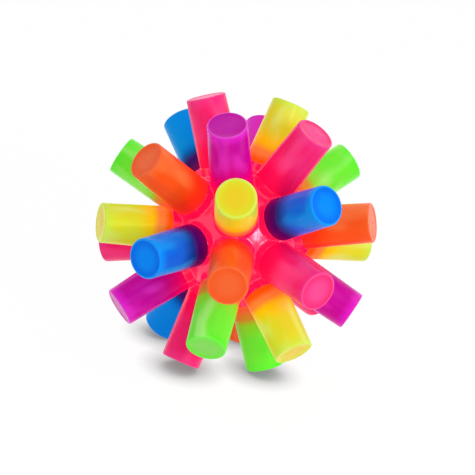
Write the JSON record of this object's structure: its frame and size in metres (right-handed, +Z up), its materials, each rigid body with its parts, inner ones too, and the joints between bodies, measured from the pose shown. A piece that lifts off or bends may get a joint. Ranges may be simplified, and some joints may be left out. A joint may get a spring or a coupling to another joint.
{
  "type": "sensory ball",
  "caption": "Soft rubber ball of stout tapered spikes in bright colours on a pink core, round a sealed light that flashes when knocked.",
  "frame": {"origin": "middle of the ball", "axes": "+X along the line of the two pole spikes, square to the plane where the core's halves meet; +Z up when the ball stands on four spikes of the two middle rings"},
  "size_m": [0.104, 0.1028, 0.0996],
  "materials": {
    "core_rubber": "soft translucent rubber with a glossy moulded skin, hot pink",
    "rubber_yellow": "soft translucent rubber with a glossy moulded skin, lemon yellow",
    "rubber_green": "soft translucent rubber with a glossy moulded skin, lime green",
    "rubber_pink": "soft translucent rubber with a glossy moulded skin, rose pink",
    "rubber_purple": "soft translucent rubber with a glossy moulded skin, magenta purple",
    "rubber_blue": "soft translucent rubber with a glossy moulded skin, bright blue",
    "rubber_orange": "soft translucent rubber with a glossy moulded skin, orange",
    "clear_plastic": "clear moulded polystyrene",
    "board_green": "green lacquered circuit board",
    "resin_black": "black potting resin",
    "cup_white": "white moulded plastic",
    "cell_steel": "nickel-plated steel",
    "contact_brass": "sprung brass strip",
    "lamp_red": "red tinted clear epoxy",
    "lamp_green": "green tinted clear epoxy",
    "lamp_blue": "blue tinted clear epoxy",
    "switch_steel": "plated spring steel"
  },
  "bodies": {
    "core": {"core_half_near": "core_rubber", "core_half_far": "core_rubber", "capsule_base": "clear_plastic", "capsule_lid": "clear_plastic", "circuit_board": "board_green", "chip_blob": "resin_black", "cell_cup": "cup_white", "cell_1": "cell_steel", "cell_2": "cell_steel", "cell_3": "cell_steel", "contact_top": "contact_brass", "contact_bottom": "contact_brass", "led_red": "lamp_red", "led_green": "lamp_green", "led_blue": "lamp_blue", "switch_pin": "switch_steel"},
    "spike_01": {"spike_01_yellow": "rubber_yellow"},
    "spike_02": {"spike_02_green": "rubber_green"},
    "spike_03": {"spike_03_pink": "rubber_pink"},
    "spike_04": {"spike_04_purple": "rubber_purple"},
    "spike_05": {"spike_05_blue": "rubber_blue"},
    "spike_06": {"spike_06_orange": "rubber_orange"},
    "spike_07": {"spike_07_blue": "rubber_blue"},
    "spike_08": {"spike_08_orange": "rubber_orange"},
    "spike_09": {"spike_09_purple": "rubber_purple"},
    "spike_10": {"spike_10_blue": "rubber_blue"},
    "spike_11": {"spike_11_pink": "rubber_pink"},
    "spike_12": {"spike_12_green": "rubber_green"},
    "spike_13": {"spike_13_orange": "rubber_orange"},
    "spike_14": {"spike_14_yellow": "rubber_yellow"},
    "spike_15": {"spike_15_purple": "rubber_purple"},
    "spike_16": {"spike_16_pink": "rubber_pink"},
    "spike_17": {"spike_17_purple": "rubber_purple"},
    "spike_18": {"spike_18_green": "rubber_green"},
    "spike_19": {"spike_19_blue": "rubber_blue"},
    "spike_20": {"spike_20_orange": "rubber_orange"},
    "spike_21": {"spike_21_green": "rubber_green"},
    "spike_22": {"spike_22_yellow": "rubber_yellow"},
    "spike_23": {"spike_23_pink": "rubber_pink"},
    "spike_24": {"spike_24_blue": "rubber_blue"},
    "spike_25": {"spike_25_pink": "rubber_pink"},
    "spike_26": {"spike_26_yellow": "rubber_yellow"},
    "spike_27": {"spike_27_blue": "rubber_blue"},
    "spike_28": {"spike_28_pink": "rubber_pink"},
    "spike_29": {"spike_29_purple": "rubber_purple"},
    "spike_30": {"spike_30_orange": "rubber_orange"},
    "spike_31": {"spike_31_green": "rubber_green"},
    "spike_32": {"spike_32_yellow": "rubber_yellow"},
    "switch_coil": {"switch_coil": "switch_steel"}
  },
  "joints": [
    {"name": "bend_01", "type": "hinge", "parent": "core", "child": "spike_01", "pos_m": [-0.02502, 0, 0], "axis": [0, 0, 1], "range_deg": [-12, 12], "stiffness_Nm_per_rad": 0.2},
    {"name": "bend_02", "type": "hinge", "parent": "core", "child": "spike_02", "pos_m": [-0.02024, 0.0119, 0.00864], "axis": [0.2978, -0.1751, 0.9384], "range_deg": [-12, 12], "stiffness_Nm_per_rad": 0.2},
    {"name": "bend_03", "type": "hinge", "parent": "core", "child": "spike_03", "pos_m": [-0.02024, 0.0119, -0.00864], "axis": [-0.2978, 0.1751, 0.9384], "range_deg": [-12, 12], "stiffness_Nm_per_rad": 0.2},
    {"name": "bend_04", "type": "hinge", "parent": "core", "child": "spike_04", "pos_m": [-0.02024, -0.00454, -0.01398], "axis": [-0.5454, -0.1225, 0.8292], "range_deg": [-12, 12], "stiffness_Nm_per_rad": 0.2},
    {"name": "bend_05", "type": "hinge", "parent": "core", "child": "spike_05", "pos_m": [-0.02024, -0.0147, 0], "axis": [0, 0, 1], "range_deg": [-12, 12], "stiffness_Nm_per_rad": 0.2},
    {"name": "bend_06", "type": "hinge", "parent": "core", "child": "spike_06", "pos_m": [-0.02024, -0.00454, 0.01398], "axis": [0.5454, 0.1225, 0.8292], "range_deg": [-12, 12], "stiffness_Nm_per_rad": 0.2},
    {"name": "bend_07", "type": "hinge", "parent": "core", "child": "spike_07", "pos_m": [-0.00806, 0.01916, 0.01392], "axis": [0.2158, -0.5129, 0.8309], "range_deg": [-12, 12], "stiffness_Nm_per_rad": 0.2},
    {"name": "bend_08", "type": "hinge", "parent": "core", "child": "spike_08", "pos_m": [-0.00806, 0.02368, 0], "axis": [0, 0, 1], "range_deg": [-12, 12], "stiffness_Nm_per_rad": 0.2},
    {"name": "bend_09", "type": "hinge", "parent": "core", "child": "spike_09", "pos_m": [-0.00806, 0.01916, -0.01392], "axis": [-0.2158, 0.5129, 0.8309], "range_deg": [-12, 12], "stiffness_Nm_per_rad": 0.2},
    {"name": "bend_10", "type": "hinge", "parent": "core", "child": "spike_10", "pos_m": [-0.00806, 0.00732, -0.02252], "axis": [-0.6666, 0.6051, 0.4352], "range_deg": [-12, 12], "stiffness_Nm_per_rad": 0.2},
    {"name": "bend_11", "type": "hinge", "parent": "core", "child": "spike_11", "pos_m": [-0.00806, -0.00732, -0.02252], "axis": [-0.6666, -0.6051, 0.4352], "range_deg": [-12, 12], "stiffness_Nm_per_rad": 0.2},
    {"name": "bend_12", "type": "hinge", "parent": "core", "child": "spike_12", "pos_m": [-0.00806, -0.01916, -0.01392], "axis": [-0.2158, -0.5129, 0.8309], "range_deg": [-12, 12], "stiffness_Nm_per_rad": 0.2},
    {"name": "bend_13", "type": "hinge", "parent": "core", "child": "spike_13", "pos_m": [-0.00806, -0.02368, 0], "axis": [0, 0, 1], "range_deg": [-12, 12], "stiffness_Nm_per_rad": 0.2},
    {"name": "bend_14", "type": "hinge", "parent": "core", "child": "spike_14", "pos_m": [-0.00806, -0.01916, 0.01392], "axis": [0.2158, 0.5129, 0.8309], "range_deg": [-12, 12], "stiffness_Nm_per_rad": 0.2},
    {"name": "bend_15", "type": "hinge", "parent": "core", "child": "spike_15", "pos_m": [-0.00806, -0.00732, 0.02252], "axis": [0.6666, 0.6051, 0.4352], "range_deg": [-12, 12], "stiffness_Nm_per_rad": 0.2},
    {"name": "bend_16", "type": "hinge", "parent": "core", "child": "spike_16", "pos_m": [-0.00806, 0.00732, 0.02252], "axis": [0.6666, -0.6051, 0.4352], "range_deg": [-12, 12], "stiffness_Nm_per_rad": 0.2},
    {"name": "bend_17", "type": "hinge", "parent": "core", "child": "spike_17", "pos_m": [0.00806, 0.01916, 0.01392], "axis": [-0.2158, -0.5129, 0.8309], "range_deg": [-12, 12], "stiffness_Nm_per_rad": 0.2},
    {"name": "bend_18", "type": "hinge", "parent": "core", "child": "spike_18", "pos_m": [0.00806, 0.02368, 0], "axis": [0, 0, 1], "range_deg": [-12, 12], "stiffness_Nm_per_rad": 0.2},
    {"name": "bend_19", "type": "hinge", "parent": "core", "child": "spike_19", "pos_m": [0.00806, 0.01916, -0.01392], "axis": [0.2158, 0.5129, 0.8309], "range_deg": [-12, 12], "stiffness_Nm_per_rad": 0.2},
    {"name": "bend_20", "type": "hinge", "parent": "core", "child": "spike_20", "pos_m": [0.00806, 0.00732, -0.02252], "axis": [0.6666, 0.6051, 0.4352], "range_deg": [-12, 12], "stiffness_Nm_per_rad": 0.2},
    {"name": "bend_21", "type": "hinge", "parent": "core", "child": "spike_21", "pos_m": [0.00806, -0.00732, -0.02252], "axis": [0.6666, -0.6051, 0.4352], "range_deg": [-12, 12], "stiffness_Nm_per_rad": 0.2},
    {"name": "bend_22", "type": "hinge", "parent": "core", "child": "spike_22", "pos_m": [0.00806, -0.01916, -0.01392], "axis": [0.2158, -0.5129, 0.8309], "range_deg": [-12, 12], "stiffness_Nm_per_rad": 0.2},
    {"name": "bend_23", "type": "hinge", "parent": "core", "child": "spike_23", "pos_m": [0.00806, -0.02368, 0], "axis": [0, 0, 1], "range_deg": [-12, 12], "stiffness_Nm_per_rad": 0.2},
    {"name": "bend_24", "type": "hinge", "parent": "core", "child": "spike_24", "pos_m": [0.00806, -0.01916, 0.01392], "axis": [-0.2158, 0.5129, 0.8309], "range_deg": [-12, 12], "stiffness_Nm_per_rad": 0.2},
    {"name": "bend_25", "type": "hinge", "parent": "core", "child": "spike_25", "pos_m": [0.00806, -0.00732, 0.02252], "axis": [-0.6666, 0.6051, 0.4352], "range_deg": [-12, 12], "stiffness_Nm_per_rad": 0.2},
    {"name": "bend_26", "type": "hinge", "parent": "core", "child": "spike_26", "pos_m": [0.00806, 0.00732, 0.02252], "axis": [-0.6666, -0.6051, 0.4352], "range_deg": [-12, 12], "stiffness_Nm_per_rad": 0.2},
    {"name": "bend_27", "type": "hinge", "parent": "core", "child": "spike_27", "pos_m": [0.02024, 0.0147, 0], "axis": [0, 0, 1], "range_deg": [-12, 12], "stiffness_Nm_per_rad": 0.2},
    {"name": "bend_28", "type": "hinge", "parent": "core", "child": "spike_28", "pos_m": [0.02024, 0.00454, -0.01398], "axis": [0.5454, 0.1225, 0.8292], "range_deg": [-12, 12], "stiffness_Nm_per_rad": 0.2},
    {"name": "bend_29", "type": "hinge", "parent": "core", "child": "spike_29", "pos_m": [0.02024, -0.0119, -0.00864], "axis": [0.2978, -0.1751, 0.9384], "range_deg": [-12, 12], "stiffness_Nm_per_rad": 0.2},
    {"name": "bend_30", "type": "hinge", "parent": "core", "child": "spike_30", "pos_m": [0.02024, -0.0119, 0.00864], "axis": [-0.2978, 0.1751, 0.9384], "range_deg": [-12, 12], "stiffness_Nm_per_rad": 0.2},
    {"name": "bend_31", "type": "hinge", "parent": "core", "child": "spike_31", "pos_m": [0.02024, 0.00454, 0.01398], "axis": [-0.5454, -0.1225, 0.8292], "range_deg": [-12, 12], "stiffness_Nm_per_rad": 0.2},
    {"name": "bend_32", "type": "hinge", "parent": "core", "child": "spike_32", "pos_m": [0.02502, 0, 0], "axis": [0, 0, 1], "range_deg": [-12, 12], "stiffness_Nm_per_rad": 0.2},
    {"name": "switch_sway", "type": "hinge", "parent": "core", "child": "switch_coil", "pos_m": [0, 0, 0.0012], "axis": [1, 0, 0], "range_deg": [-5, 5], "stiffness_Nm_per_rad": 0.0001}
  ]
}
